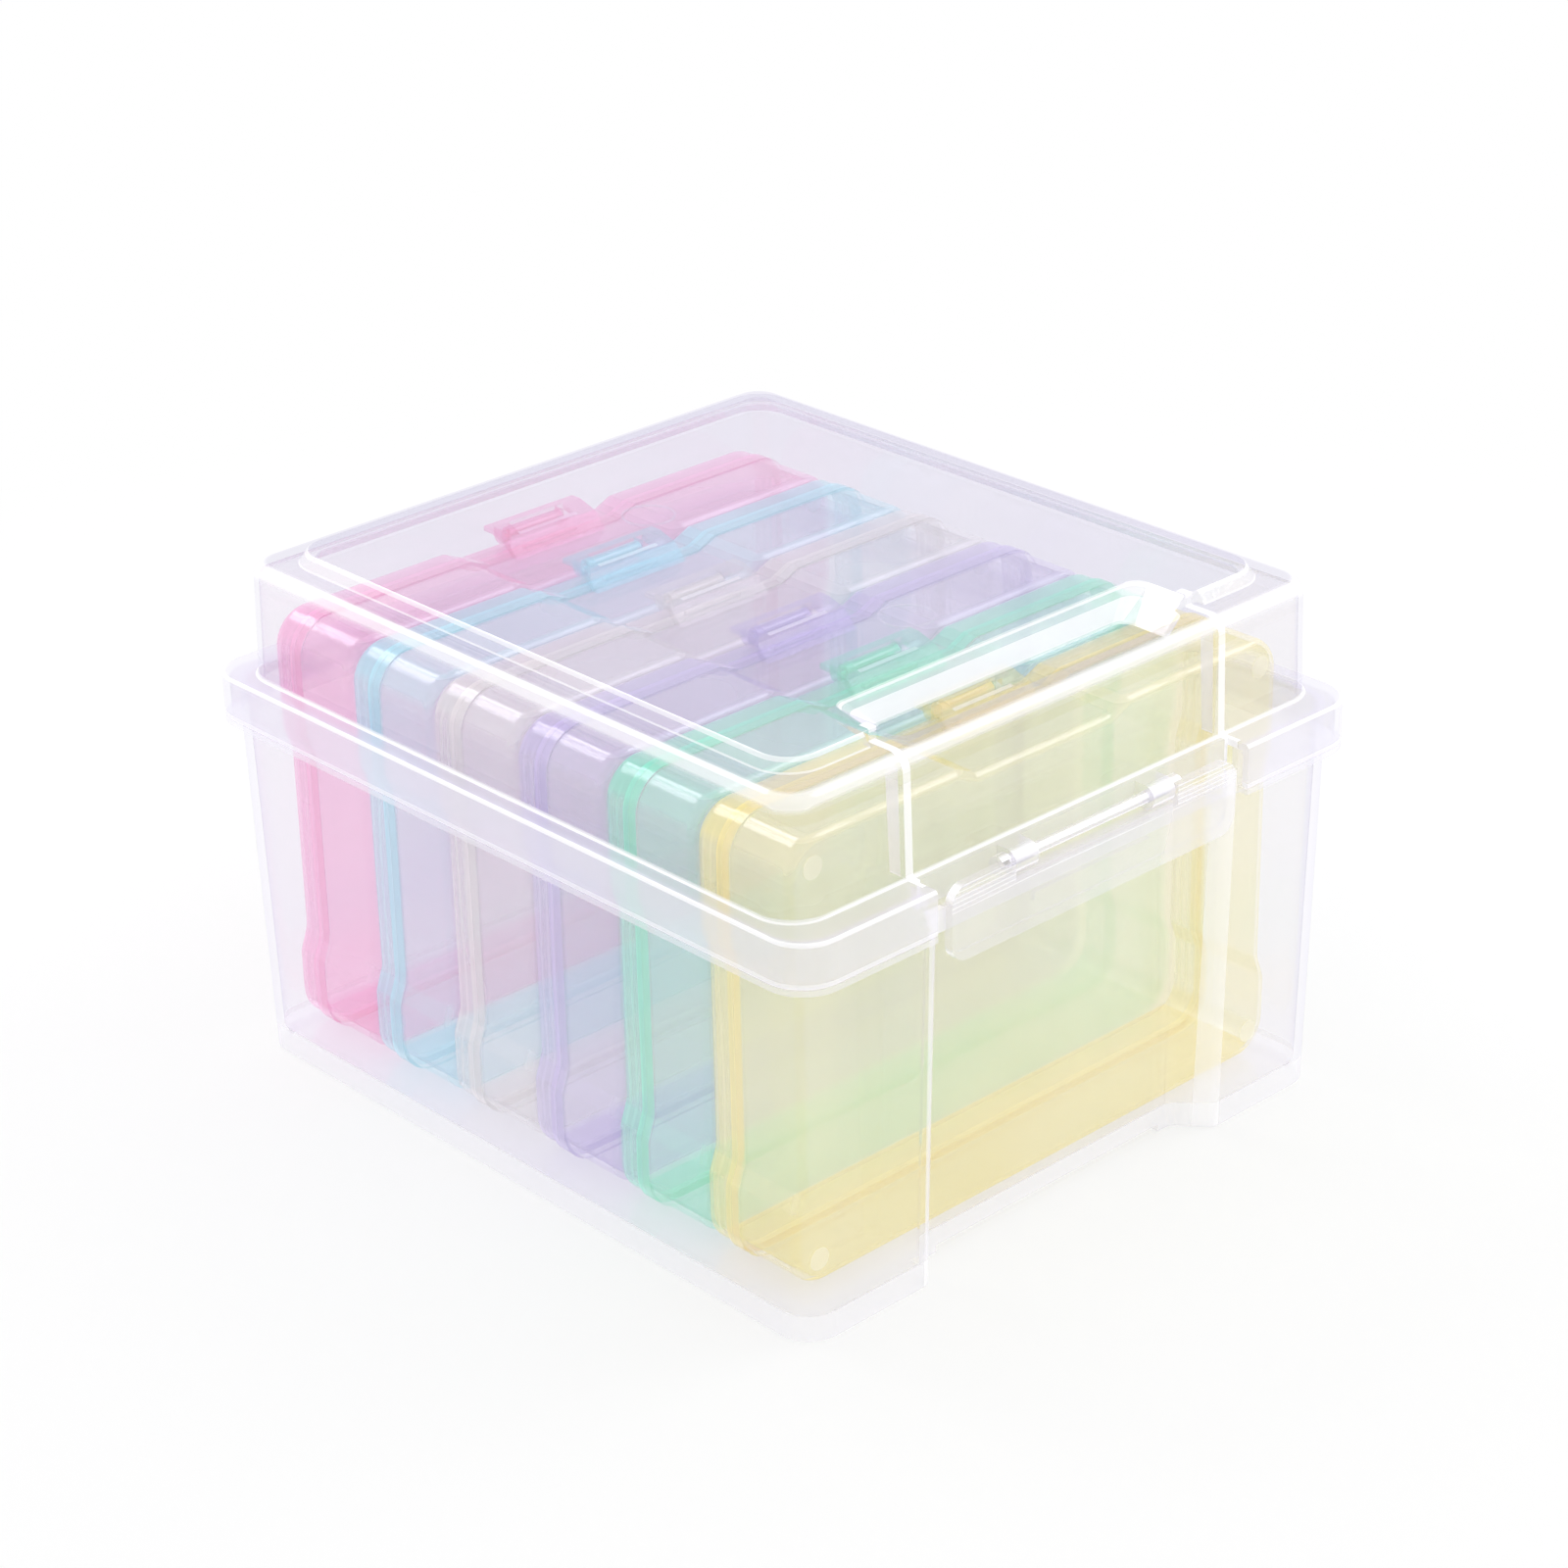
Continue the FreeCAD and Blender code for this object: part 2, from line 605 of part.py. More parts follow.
def make_latch():
    body = new_body("front_latch")
    front = "flange_depth / 2"
    flap = outline_sketch(body, "flap_plan", "XZ_Plane", front, rectangle(
        "-latch_width / 2", "latch_width / 2", "latch_bottom", "latch_top", "latch_corner"))
    extrude(body, "Pad", flap, "flap", "latch_back", reverse=True)
    inside = outline_sketch(body, "inside_plan", "XZ_Plane", f"{front} - latch_back", rectangle(
        "latch_rim_wall - latch_width / 2", "latch_width / 2 - latch_rim_wall",
        "latch_bottom + latch_rim_wall", "latch_top - latch_rim_wall", "latch_corner - latch_rim_wall"))
    extrude(body, "Pocket", inside, "inside", "latch_rim", reverse=True)
    gap = outline_sketch(body, "hinge_gap_plan", "XZ_Plane", front, rectangle(
        "-knuckle_edge", "knuckle_edge",
        "latch_axis_z - knuckle_radius - knuckle_gap", "latch_top + overrun"))
    extrude(body, "Pocket", gap, "hinge_gap", "latch_back + overrun")
    for name, start in (("left", "-knuckle_edge - latch_boss_width"), ("right", "knuckle_edge")):
        web = outline_sketch(body, f"{name}_web_plan", "YZ_Plane", start, rectangle(
            f"latch_thickness / 2 - {front}", "latch_axis_y",
            "latch_axis_z - latch_rod_radius", "latch_axis_z + latch_rod_radius"))
        extrude(body, "Pad", web, f"{name}_web", "latch_boss_width")
        boss = circle_sketch(body, f"{name}_boss_plan", "YZ_Plane", start,
                             "latch_axis_y", "latch_axis_z", "latch_boss_radius")
        extrude(body, "Pad", boss, f"{name}_boss", "latch_boss_width")
    rod = circle_sketch(body, "rod_plan", "YZ_Plane", "0", "latch_axis_y", "latch_axis_z", "latch_rod_radius")
    extrude(body, "Pad", rod, "rod", "2 * knuckle_edge + latch_boss_width", middle=True)
    catch = outline_sketch(body, "catch_plan", "YZ_Plane", "0", rectangle(
        f"latch_thickness / 2 - {front}", "-band_depth / 2 - catch_gap",
        "lip_z - catch_height", "lip_z"))
    extrude(body, "Pad", catch, "catch", "catch_width", middle=True)
    tidy_faces(body)
    return body


def half_case_outline(inset, corner):
    # The right half of a case seen from the front: a waist in the side and a shallow notch in the top.
    half_x = f"case_width / 2 - ({inset})"
    notch = f"top_notch_width / 2 + ({inset})"
    top = f"case_height - ({inset})"
    return [
        ("0", inset, None),
        (half_x, inset, corner),
        (half_x, "waist_bottom", "waist_round"),
        (f"{half_x} - waist_depth", "waist_bottom + waist_run", "waist_round"),
        (f"{half_x} - waist_depth", "waist_top - waist_run", "waist_round"),
        (half_x, "waist_top", "waist_round"),
        (half_x, top, corner),
        (f"{notch} + top_notch_run", top, "top_notch_round"),
        (notch, f"{top} - top_notch_drop", "top_notch_round"),
        ("0", f"{top} - top_notch_drop", None),
    ]


def make_rear_shell(name):
    body = new_body(name)
    outer = outline_sketch(body, "outer_plan", "XZ_Plane", "0", half_case_outline("0", "case_corner"))
    extrude(body, "Pad", outer, "outer", "rear_shell_depth")
    round_edges(body, "outer_edge", "case_edge_round", "Y", 0)
    lip = outline_sketch(body, "lip_plan", "XZ_Plane", "rear_shell_depth - rear_lip",
                         half_case_outline("-seam_lip_reach", "case_corner + seam_lip_reach"))
    extrude(body, "Pad", lip, "lip", "rear_lip")
    inner = outline_sketch(body, "inner_plan", "XZ_Plane", "rear_shell_depth",
                           half_case_outline("case_wall", "case_corner - case_wall"))
    extrude(body, "Pocket", inner, "inner", "rear_shell_depth - case_wall")
    mirror_half(body, "both_halves")
    boss_start = "-clasp_boss_width / 2"
    web = outline_sketch(body, "boss_web_plan", "YZ_Plane", boss_start, rectangle(
        "-clasp_boss_inset - clasp_boss_radius", "clasp_boss_radius - clasp_boss_inset",
        "notch_floor - case_wall / 2", "clasp_axis_z"))
    extrude(body, "Pad", web, "boss_web", "clasp_boss_width")
    boss = circle_sketch(body, "boss_plan", "YZ_Plane", boss_start,
                         "-clasp_boss_inset", "clasp_axis_z", "clasp_boss_radius")
    extrude(body, "Pad", boss, "boss", "clasp_boss_width")
    bore = circle_sketch(body, "boss_bore_plan", "YZ_Plane", "0",
                         "-clasp_boss_inset", "clasp_axis_z", "clasp_pin_radius + running_fit")
    extrude(body, "Pocket", bore, "boss_bore", "clasp_boss_width + overrun", middle=True)
    tidy_faces(body)
    return body


def make_front_shell(name):
    body = new_body(name)
    start = "rear_shell_depth + seam_gap"
    outer = outline_sketch(body, "outer_plan", "XZ_Plane", start, half_case_outline("0", "case_corner"))
    extrude(body, "Pad", outer, "outer", f"case_depth - ({start})")
    round_edges(body, "outer_edge", "case_edge_round", "Y", -number("case_depth"))
    lip = outline_sketch(body, "lip_plan", "XZ_Plane", start,
                         half_case_outline("-seam_lip_reach", "case_corner + seam_lip_reach"))
    extrude(body, "Pad", lip, "lip", "front_lip")
    inner = outline_sketch(body, "inner_plan", "XZ_Plane", start,
                           half_case_outline("case_wall", "case_corner - case_wall"))
    extrude(body, "Pocket", inner, "inner", f"case_depth - case_wall - ({start})", reverse=True)
    mirror_half(body, "both_halves")
    ridge = outline_sketch(body, "ridge_plan", "XZ_Plane", start, rectangle(
        "-ridge_width / 2", "ridge_width / 2",
        "notch_floor", "notch_floor + seam_lip_reach + ridge_height"))
    extrude(body, "Pad", ridge, "ridge", "ridge_depth")
    studs = new_sketch(body, "stud_plan", "XZ_Plane", "case_depth")
    for x_text in ("stud_inset - case_width / 2", "case_width / 2 - stud_inset"):
        for z_text in ("stud_inset", "case_height - stud_inset"):
            add_circle(studs, x_text, z_text, "stud_radius")
    extrude(body, "Pad", studs, "studs", "stud_height")
    tidy_faces(body)
    return body


def make_clasp(name):
    body = new_body(name)
    # A bent plate: level over the hinge, then leaning down to a toe in front of the seam's lips.
    flap = outline_sketch(body, "flap_plan", "YZ_Plane", "0", [
        ("-clasp_rear_inset", "clasp_under", None),
        ("-clasp_rear_inset", "clasp_top", "clasp_edge_round"),
        ("-clasp_flat", "clasp_top", None),
        ("-clasp_bend", "clasp_top - clasp_bend_drop", "clasp_bend_round"),
        ("-clasp_toe", "notch_floor + clasp_toe_gap", None),
        ("clasp_toe_wall - clasp_toe", "notch_floor + clasp_toe_gap", None),
        ("clasp_bend_run - clasp_bend", "clasp_top - clasp_bend_drop - clasp_bend_fall", None),
        ("-clasp_flat", "clasp_under", None),
    ])
    extrude(body, "Pad", flap, "flap", "clasp_width", middle=True)
    round_edges(body, "left_edge", "clasp_edge_round", "X", -number("clasp_width / 2"))
    round_edges(body, "right_edge", "clasp_edge_round", "X", number("clasp_width / 2"))
    window = outline_sketch(body, "window_plan", "XY_Plane", "clasp_under - clasp_bend_drop", rectangle(
        "-clasp_window_width / 2", "clasp_window_width / 2",
        "-clasp_window_inset - clasp_window_depth", "-clasp_window_inset"))
    extrude(body, "Pocket", window, "window", "clasp_bend_drop + clasp_thickness + overrun", reverse=True)
    cheek_edge = "clasp_boss_width / 2 + hinge_gap"
    for cheek, start in (("left", f"-({cheek_edge} + clasp_cheek)"), ("right", cheek_edge)):
        web = outline_sketch(body, f"{cheek}_cheek_plan", "YZ_Plane", start, rectangle(
            "-clasp_boss_inset - clasp_boss_radius", "clasp_boss_radius - clasp_boss_inset",
            "clasp_axis_z", "clasp_under"))
        extrude(body, "Pad", web, f"{cheek}_cheek", "clasp_cheek")
        round_end = circle_sketch(body, f"{cheek}_end_plan", "YZ_Plane", start,
                                  "-clasp_boss_inset", "clasp_axis_z", "clasp_boss_radius")
        extrude(body, "Pad", round_end, f"{cheek}_end", "clasp_cheek")
    pin = circle_sketch(body, "pin_plan", "YZ_Plane", "0",
                        "-clasp_boss_inset", "clasp_axis_z", "clasp_pin_radius")
    extrude(body, "Pad", pin, "pin", "clasp_boss_width + 2 * hinge_gap + clasp_cheek", middle=True)
    tidy_faces(body)
    return body


def copy_of(master, name):
    body = new_body(name)
    body.BaseFeature = master
    return body


parts = [make_base(), make_lid(), make_latch()]
for body in parts:
    bind(body, "Placement.Base.y", "-frame_shift")
CASE_PIECES = {"rear_shell": make_rear_shell, "front_shell": make_front_shell, "clasp": make_clasp}
for piece, make in CASE_PIECES.items():
    for place, colour in enumerate(CASE_COLOURS):
        node = f"{colour}_{piece}"
        body = make(node) if place == 0 else copy_of(parts[-place], node)
        rear = f"case_depth - stack_front + {place} * (case_depth + case_gap)"
        bind(body, "Placement.Base.y", f"{rear} - frame_shift")
        bind(body, "Placement.Base.z", "case_z")
        parts.append(body)
doc.recompute()

for item in doc.Objects:
    if "Invalid" in item.State or "Error" in item.State:
        raise RuntimeError(f"{item.Label} failed: {item.State}")
for body in parts:
    if body.Shape.isNull() or not body.Shape.isValid() or len(body.Shape.Solids) != 1:
        raise RuntimeError(f"{body.Label} isn't one valid solid")

os.makedirs("parts", exist_ok=True)
for body in parts:
    body.Shape.exportStep(f"parts/{body.Label}.step")
    box = body.Shape.BoundBox
    print(f"{body.Label}: {body.Shape.Volume / 1000:.2f} cm3, z {box.ZMin:.2f} to {box.ZMax:.2f}")
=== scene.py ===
import math

import bpy
from mathutils import Matrix, Vector


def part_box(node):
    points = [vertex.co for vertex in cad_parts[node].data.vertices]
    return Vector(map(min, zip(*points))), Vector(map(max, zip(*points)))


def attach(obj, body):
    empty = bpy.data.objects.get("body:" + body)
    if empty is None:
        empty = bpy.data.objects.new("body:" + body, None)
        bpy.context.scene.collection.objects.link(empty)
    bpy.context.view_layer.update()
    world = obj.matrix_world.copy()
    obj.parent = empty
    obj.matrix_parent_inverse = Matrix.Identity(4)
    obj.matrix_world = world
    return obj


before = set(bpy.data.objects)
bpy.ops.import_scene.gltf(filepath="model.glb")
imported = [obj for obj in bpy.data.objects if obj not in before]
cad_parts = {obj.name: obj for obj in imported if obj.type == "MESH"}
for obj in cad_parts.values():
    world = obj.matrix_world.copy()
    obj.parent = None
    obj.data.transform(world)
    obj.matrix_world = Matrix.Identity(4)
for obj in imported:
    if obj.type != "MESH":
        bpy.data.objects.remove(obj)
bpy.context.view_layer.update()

scene = bpy.context.scene
print("frame loaded:", len(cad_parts), "nodes")

# What all the moulded plastics share; a lean is how much of a face's normal lies along an axis
plasticSkin = {
    "noiseRange": (0.3, 0.7),     # middle part of a noise, spread over all that it drives
    "bumpStrength": 0.35,
    "mirrorPower": 5.0,           # how late the mirror comes up as a wall turns away
    "depthPower": 2.5,            # the same for the deep tint
    "edgeLean": (0.985, 0.90),    # flat face to rounded edge
    "levelLean": (0.1, 0.3),      # upright edge to level edge
    "lyingLean": (0.8, 1.0),      # slanting face to one square to the axis
    "hazeSwing": (0.8, 1.2),      # haze between the streaks and in them
    "streakPaleness": 0.4,
    "streakShare": 0.5,
    "lineWander": 6.0,            # how far the streaks push the fine lines about
    "lineFocus": 8.0,             # keeps the lines to faces square to their axis
    "lineCrest": 0.9,
}
wholeRange = (0, 1)


def mathNode(tree, kind, *values):
    node = tree.nodes.new("ShaderNodeMath")
    node.operation = kind
    for socket, value in zip(node.inputs, values):
        if isinstance(value, (int, float)):
            socket.default_value = value
        else:
            tree.links.new(value, socket)
    return node.outputs[0]


def axesOf(tree, vector):
    node = tree.nodes.new("ShaderNodeSeparateXYZ")
    tree.links.new(vector, node.inputs[0])
    return dict(zip("xyz", node.outputs))


def vectorNode(tree, kind, vector, result):
    node = tree.nodes.new("ShaderNodeVectorMath")
    node.operation = kind
    tree.links.new(vector, node.inputs[0])
    return node.outputs[result]


def noiseNode(tree, place, scale):
    node = tree.nodes.new("ShaderNodeTexNoise")
    node.inputs["Scale"].default_value = scale
    node.inputs["Detail"].default_value = 0
    tree.links.new(place, node.inputs["Vector"])
    return node.outputs["Fac"]


def spread(tree, value, low, high, span=plasticSkin["noiseRange"]):
    node = tree.nodes.new("ShaderNodeMapRange")
    names = ("From Min", "From Max", "To Min", "To Max")
    for name, number in zip(names, (*span, low, high)):
        node.inputs[name].default_value = number
    tree.links.new(value, node.inputs["Value"])
    return node.outputs["Result"]


def colourMix(tree, factor, first, second):
    node = tree.nodes.new("ShaderNodeMix")
    node.data_type = "RGBA"
    tree.links.new(factor, node.inputs["Factor"])
    for place, colour in ((6, first), (7, second)):  # the node's two colour sockets
        if isinstance(colour, tuple):
            node.inputs[place].default_value = (*colour, 1)
        else:
            tree.links.new(colour, node.inputs[place])
    return node.outputs[2]


def mixShaders(tree, factor, first, second):
    node = tree.nodes.new("ShaderNodeMixShader")
    for socket, value in zip(node.inputs, (factor, first, second)):
        tree.links.new(value, socket)
    return node.outputs[0]


def between(tree, value, low, high):
    return mathNode(tree, "COMPARE", value, (low + high) / 2, (high - low) / 2)


def withinZone(tree, axes, zone):
    inside = None
    for axis in "xyz":
        if axis in zone:
            place = mathNode(tree, "ABSOLUTE", axes[axis]) if axis == "x" else axes[axis]
            near = between(tree, place, *zone[axis])
            inside = near if inside is None else mathNode(tree, "MULTIPLY", inside, near)
    return inside


def fineLines(tree, axes, leans, flow, lines):
    place = axes[lines["axis"]]
    turns = mathNode(tree, "MULTIPLY", place, math.tau / lines["pitch"])
    angle = mathNode(tree, "MULTIPLY_ADD", flow, plasticSkin["lineWander"], turns)
    crest = (0.0, plasticSkin["lineCrest"])
    line = spread(tree, mathNode(tree, "SINE", angle), 0, lines["haze"], crest)
    onFace = mathNode(tree, "POWER", leans[lines["face"]], plasticSkin["lineFocus"])
    inRange = between(tree, place, lines["low"], lines["high"])
    return mathNode(tree, "MULTIPLY", mathNode(tree, "MULTIPLY", onFace, line), inRange)


# Shares of a plastic: haze of its cloudy layer, rich of the stronger colour, deep of the deep tint
def plasticShares(tree, look, coords, flow, facing):
    axes = axesOf(tree, coords.outputs["Object"])
    leans = axesOf(tree, vectorNode(tree, "ABSOLUTE", coords.outputs["Normal"], "Vector"))
    faces = look["faces"]
    lying = spread(tree, leans[faces["axis"]], *wholeRange, plasticSkin["lyingLean"])
    square = mathNode(tree, "MAXIMUM", leans["x"], leans["y"])
    square = mathNode(tree, "MAXIMUM", square, leans["z"])
    edge = spread(tree, square, *wholeRange, plasticSkin["edgeLean"])
    # Whiter haze on rounded edges, more on level edges than on upright ones: partly hazier plastic,
    # partly a painted highlight
    level = spread(tree, leans["z"], look["cornerHazeAndHighlight"], look["edgeHazeAndHighlight"], plasticSkin["levelLean"])
    haze = spread(tree, flow, *(look["haze"] * swing for swing in plasticSkin["hazeSwing"]))
    haze = mathNode(tree, "MULTIPLY", haze, spread(tree, lying, 1, faces["haze"], wholeRange))
    haze = mathNode(tree, "MULTIPLY_ADD", edge, level, haze)
    if "lines" in look:
        haze = mathNode(tree, "ADD", haze, fineLines(tree, axes, leans, flow, look["lines"]))
    plainRich = spread(tree, lying, look["rich"], 0, wholeRange)
    rich = mathNode(tree, "MULTIPLY_ADD", edge, look["edgeRich"], plainRich)
    deep = mathNode(tree, "POWER", facing, plasticSkin["depthPower"])
    shares = {"haze": haze, "rich": rich, "deep": deep}
    for zone in look["zones"]:
        inside = withinZone(tree, axes, zone)
        for share, value in shares.items():
            if zone.get(share):
                shares[share] = mathNode(tree, "MULTIPLY_ADD", inside, zone[share], value)
    rich, deep = shares["rich"], shares["deep"]
    shares["deep"] = mathNode(tree, "MULTIPLY_ADD", rich, look["richDepth"], deep)
    shares["lying"] = lying
    return shares


def mouldedPlastic(name, look):
    material = bpy.data.materials.new(name)
    material.use_nodes = True
    tree = material.node_tree
    tree.nodes.clear()
    coords = tree.nodes.new("ShaderNodeTexCoord")
    flow = noiseNode(tree, coords.outputs["Object"], look["flowScale"])  # slow streaks of the melt
    peel = noiseNode(tree, coords.outputs["Object"], look["peelScale"])  # fine skin of the mould
    facing = tree.nodes.new("ShaderNodeLayerWeight").outputs["Facing"]
    shares = plasticShares(tree, look, coords, flow, facing)

    through = tree.nodes.new("ShaderNodeBsdfTransparent")
    thin = colourMix(tree, shares["lying"], look["thinTint"], look["faces"]["tint"])
    tint = colourMix(tree, shares["deep"], thin, look["deepTint"])
    tree.links.new(tint, through.inputs["Color"])

    cloudy = tree.nodes.new("ShaderNodeBsdfDiffuse")
    paleness = plasticSkin["streakPaleness"]
    paler = tuple(paleness + (1 - paleness) * value for value in look["hazeColour"])
    streaks = spread(tree, flow, 0, plasticSkin["streakShare"])
    mottled = colourMix(tree, streaks, look["hazeColour"], paler)
    cloud = colourMix(tree, shares["rich"], mottled, look["richColour"])
    tree.links.new(cloud, cloudy.inputs["Color"])

    bump = tree.nodes.new("ShaderNodeBump")
    bump.inputs["Strength"].default_value = plasticSkin["bumpStrength"]
    bump.inputs["Distance"].default_value = look["peelDepth"]
    tree.links.new(peel, bump.inputs["Height"])
    shine = tree.nodes.new("ShaderNodeBsdfAnisotropic")
    shine.inputs["Color"].default_value = (1, 1, 1, 1)
    tree.links.new(spread(tree, flow, *look["roughness"]), shine.inputs["Roughness"])
    tree.links.new(bump.outputs["Normal"], shine.inputs["Normal"])

    rise = mathNode(tree, "POWER", facing, plasticSkin["mirrorPower"])
    mirror = mathNode(tree, "MULTIPLY_ADD", rise, 1 - look["gloss"], look["gloss"])
    body = mixShaders(tree, shares["haze"], through.outputs[0], cloudy.outputs[0])
    front = mixShaders(tree, mirror, body, shine.outputs[0])
    leaving = tree.nodes.new("ShaderNodeBsdfTransparent")  # light leaves a wall unchanged
    behind = tree.nodes.new("ShaderNodeNewGeometry").outputs["Backfacing"]
    surface = mixShaders(tree, behind, front, leaving.outputs[0])
    output = tree.nodes.new("ShaderNodeOutputMaterial")
    tree.links.new(surface, output.inputs["Surface"])
    return material


def dress(node, material, shades=True):
    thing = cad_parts[node]
    thing.data.materials.clear()
    thing.data.materials.append(material)
    thing.visible_shadow = shades


# Clear outer box: linear colours, zones in metres, x counted from the middle to both sides
boxLook = {
    "thinTint": (0.982, 0.975, 0.992),   # passed by a wall seen square on
    "deepTint": (0.80, 0.77, 0.93),      # passed where the wall turns away
    "hazeColour": (0.985, 0.98, 1.0),
    "richColour": (0.985, 0.98, 1.0),
    "faces": {"axis": "z", "tint": (0.982, 0.975, 0.992), "haze": 1.0},  # faces square to an axis
    "haze": 0.10,
    "edgeHazeAndHighlight": 0.45,                    # whitening of the rounded upper and lower edges, partly hazier plastic and partly a painted highlight
    "cornerHazeAndHighlight": 0.0,                   # the same for the upright edges
    "rich": 0.0,
    "edgeRich": 0.0,
    "richDepth": 0.0,                    # share of the rich colour that also deepens what passes
    "gloss": 0.09,
    "roughness": (0.04, 0.10),
    "flowScale": 22.0,
    "peelScale": 700.0,
    "peelDepth": 0.00004,
    "zones": [],
}
baseLook = {
    **boxLook,
    "zones": [
        {"z": (0.0945, 0.1095), "haze": 0.22, "deep": 0.15},            # rim
        {"z": (-0.001, 0.007), "haze": 0.22},                           # foot
        {"x": (0.0478, 0.0530), "y": (-0.115, -0.1035), "haze": 0.35},  # edges of the pilasters
    ],
}
lidLook = {
    **boxLook,
    "thinTint": (0.975, 0.965, 0.985),
    "deepTint": (0.80, 0.78, 0.90),
    "gloss": 0.055,
    "hazeColour": (0.88, 0.865, 0.94),   # lavender veil of the faces, with a painted white highlight at the edges
    # white rich colour over the rounded edges: a painted highlight
    "edgeRich": 1.0,
    "faces": {"axis": "z", "tint": (0.795, 0.78, 0.85), "haze": 1.2},
    "zones": [
        {"x": (-1.0, 0.0525), "y": (-0.0818, -0.0745), "z": (0.1349, 0.1418),
         "haze": 0.30, "rich": 1.0},                                              # back of the well, whitened: a painted reflection of the lamp's glare
        {"z": (0.0945, 0.1086), "haze": 0.23, "rich": 1.0, "deep": 0.35},         # skirt and flange
        {"z": (0.0965, 0.0980), "haze": 0.25},                                    # skirt's edge: a painted highlight line
        {"z": (0.1394, 0.1412), "haze": -0.45},                                   # panel's slope
        {"x": (0.0524, 0.0548), "y": (-0.11, -0.09), "haze": 0.60, "rich": 1.0},  # gussets
        {"z": (0.1320, 0.1346), "haze": -0.12},                                   # floor of the well
    ],
}
latchLook = {
    **boxLook,
    "thinTint": (0.955, 0.95, 0.985),
    "haze": 0.24,
    # whiter rounded edges, partly hazier plastic and partly a painted highlight
    "edgeHazeAndHighlight": 0.80,
    "cornerHazeAndHighlight": 0.80,
    "lines": {"axis": "z", "face": "y", "pitch": 0.0012, "haze": 0.35,
              "low": 0.1005, "high": 0.1080},
}

dress("box_base", mouldedPlastic("clear_base", baseLook))
dress("box_lid", mouldedPlastic("clear_lid", lidLook), shades=False)  # daylight fills the box
dress("front_latch", mouldedPlastic("clear_latch", latchLook))
print("clear box done")

# Tinted cases, colours from the latch to the hinges; a colour's own entry goes over the one for all
caseLook = {
    "plastic": {
        # whiter rounded edges, partly hazier plastic and partly a painted highlight
        "edgeHazeAndHighlight": 0.22,
        "cornerHazeAndHighlight": 0.0,
        "richDepth": 1.0,
        "gloss": 0.08,
        "roughness": (0.05, 0.12),
        "flowScale": 30.0,
        "peelScale": 800.0,
        "peelDepth": 0.00004,
    },
    "pieces": {
        "rear_shell": {"haze": 0.26, "rich": 0.40, "edgeRich": 0.4},
        "front_shell": {"haze": 0.13, "rich": 0.0, "edgeRich": 0.2},
        "clasp": {"haze": 0.24, "rich": 0.35, "edgeRich": 0.5, "edgeHazeAndHighlight": -0.04, "gloss": 0.05},
    },
    "tints": {
        "yellow": {"thinTint": (0.995, 0.98, 0.86), "deepTint": (0.99, 0.90, 0.45),
                   "hazeColour": (1.0, 0.96, 0.64), "richColour": (1.0, 0.86, 0.32)},
        "green": {"thinTint": (0.885, 0.99, 0.955), "deepTint": (0.42, 0.92, 0.74),
                  "hazeColour": (0.54, 0.98, 0.82), "richColour": (0.27, 0.91, 0.65)},
        "purple": {"thinTint": (0.95, 0.93, 0.985), "deepTint": (0.70, 0.62, 0.90),
                   "hazeColour": (0.78, 0.71, 0.91), "richColour": (0.67, 0.57, 0.86)},
        "clear": {"thinTint": (0.978, 0.973, 0.972), "deepTint": (0.89, 0.875, 0.87),
                  "hazeColour": (0.94, 0.91, 0.89), "richColour": (0.87, 0.82, 0.78)},
        "blue": {"thinTint": (0.93, 0.987, 0.997), "deepTint": (0.50, 0.87, 0.93),
                 "hazeColour": (0.66, 0.93, 0.97), "richColour": (0.50, 0.88, 0.95)},
        "pink": {"thinTint": (0.995, 0.73, 0.875), "deepTint": (0.98, 0.50, 0.74),
                 "hazeColour": (1.0, 0.64, 0.83), "richColour": (1.0, 0.50, 0.75)},
    },
    "panes": {                           # large front and rear walls, against the case's edges
        "all": {"paleness": 0.6, "haze": 0.5},
        "yellow": {"paleness": 0.2, "haze": 1.5},  # the foremost case veils the others
        "pink": {"paleness": 0.4, "haze": 0.5},
    },
    "floors": {
        "all": {"height": 0.0035, "haze": 0.06, "rich": 0.4},
        "yellow": {"haze": 0.20, "rich": 0.8},
    },
    "top": {"height": 0.0035, "haze": 0.17},
    "seamLips": {"rear": 0.0018, "front": 0.0027, "haze": 0.22, "rich": 0.5},
    "studFaces": {"depth": 0.0001, "haze": 0.30},
    "windowRimGlint": {"width": 0.0100, "start": 0.0047, "end": 0.0058, "haze": 0.5, "rich": -1.0},
    "rearLines": {"axis": "y", "face": "x", "pitch": 0.0026, "haze": 0.14,
                  "low": -1.0, "high": 1.0},
    "margin": 0.001,                     # by which the top and floor zones reach past the shells
}


# Zones of one case, measured from its own shells and clasp
def caseZones(colour):
    low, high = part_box(f"{colour}_rear_shell")
    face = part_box(f"{colour}_front_shell")[0][1]
    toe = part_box(f"{colour}_clasp")[0][1]
    margin = caseLook["margin"]
    lips = dict(caseLook["seamLips"])
    lips["y"] = (low[1] - lips["front"], low[1] + lips["rear"])
    floor = {**caseLook["floors"]["all"], **caseLook["floors"].get(colour, {})}
    floor["z"] = (low[2] - margin, low[2] + floor["height"])
    top = dict(caseLook["top"])
    top["z"] = (high[2] - top["height"], high[2] + margin)
    studs = dict(caseLook["studFaces"])
    studs["y"] = (face - studs["depth"], face + studs["depth"])
    rim = dict(caseLook["windowRimGlint"])    # painted glint on the front rim of the clasp's window
    rim["x"] = (-1.0, rim["width"])
    rim["y"] = (toe + rim["start"], toe + rim["end"])
    return {
        "rear_shell": [lips, floor, top],
        "front_shell": [lips, floor, top, studs],
        "clasp": [rim],
    }


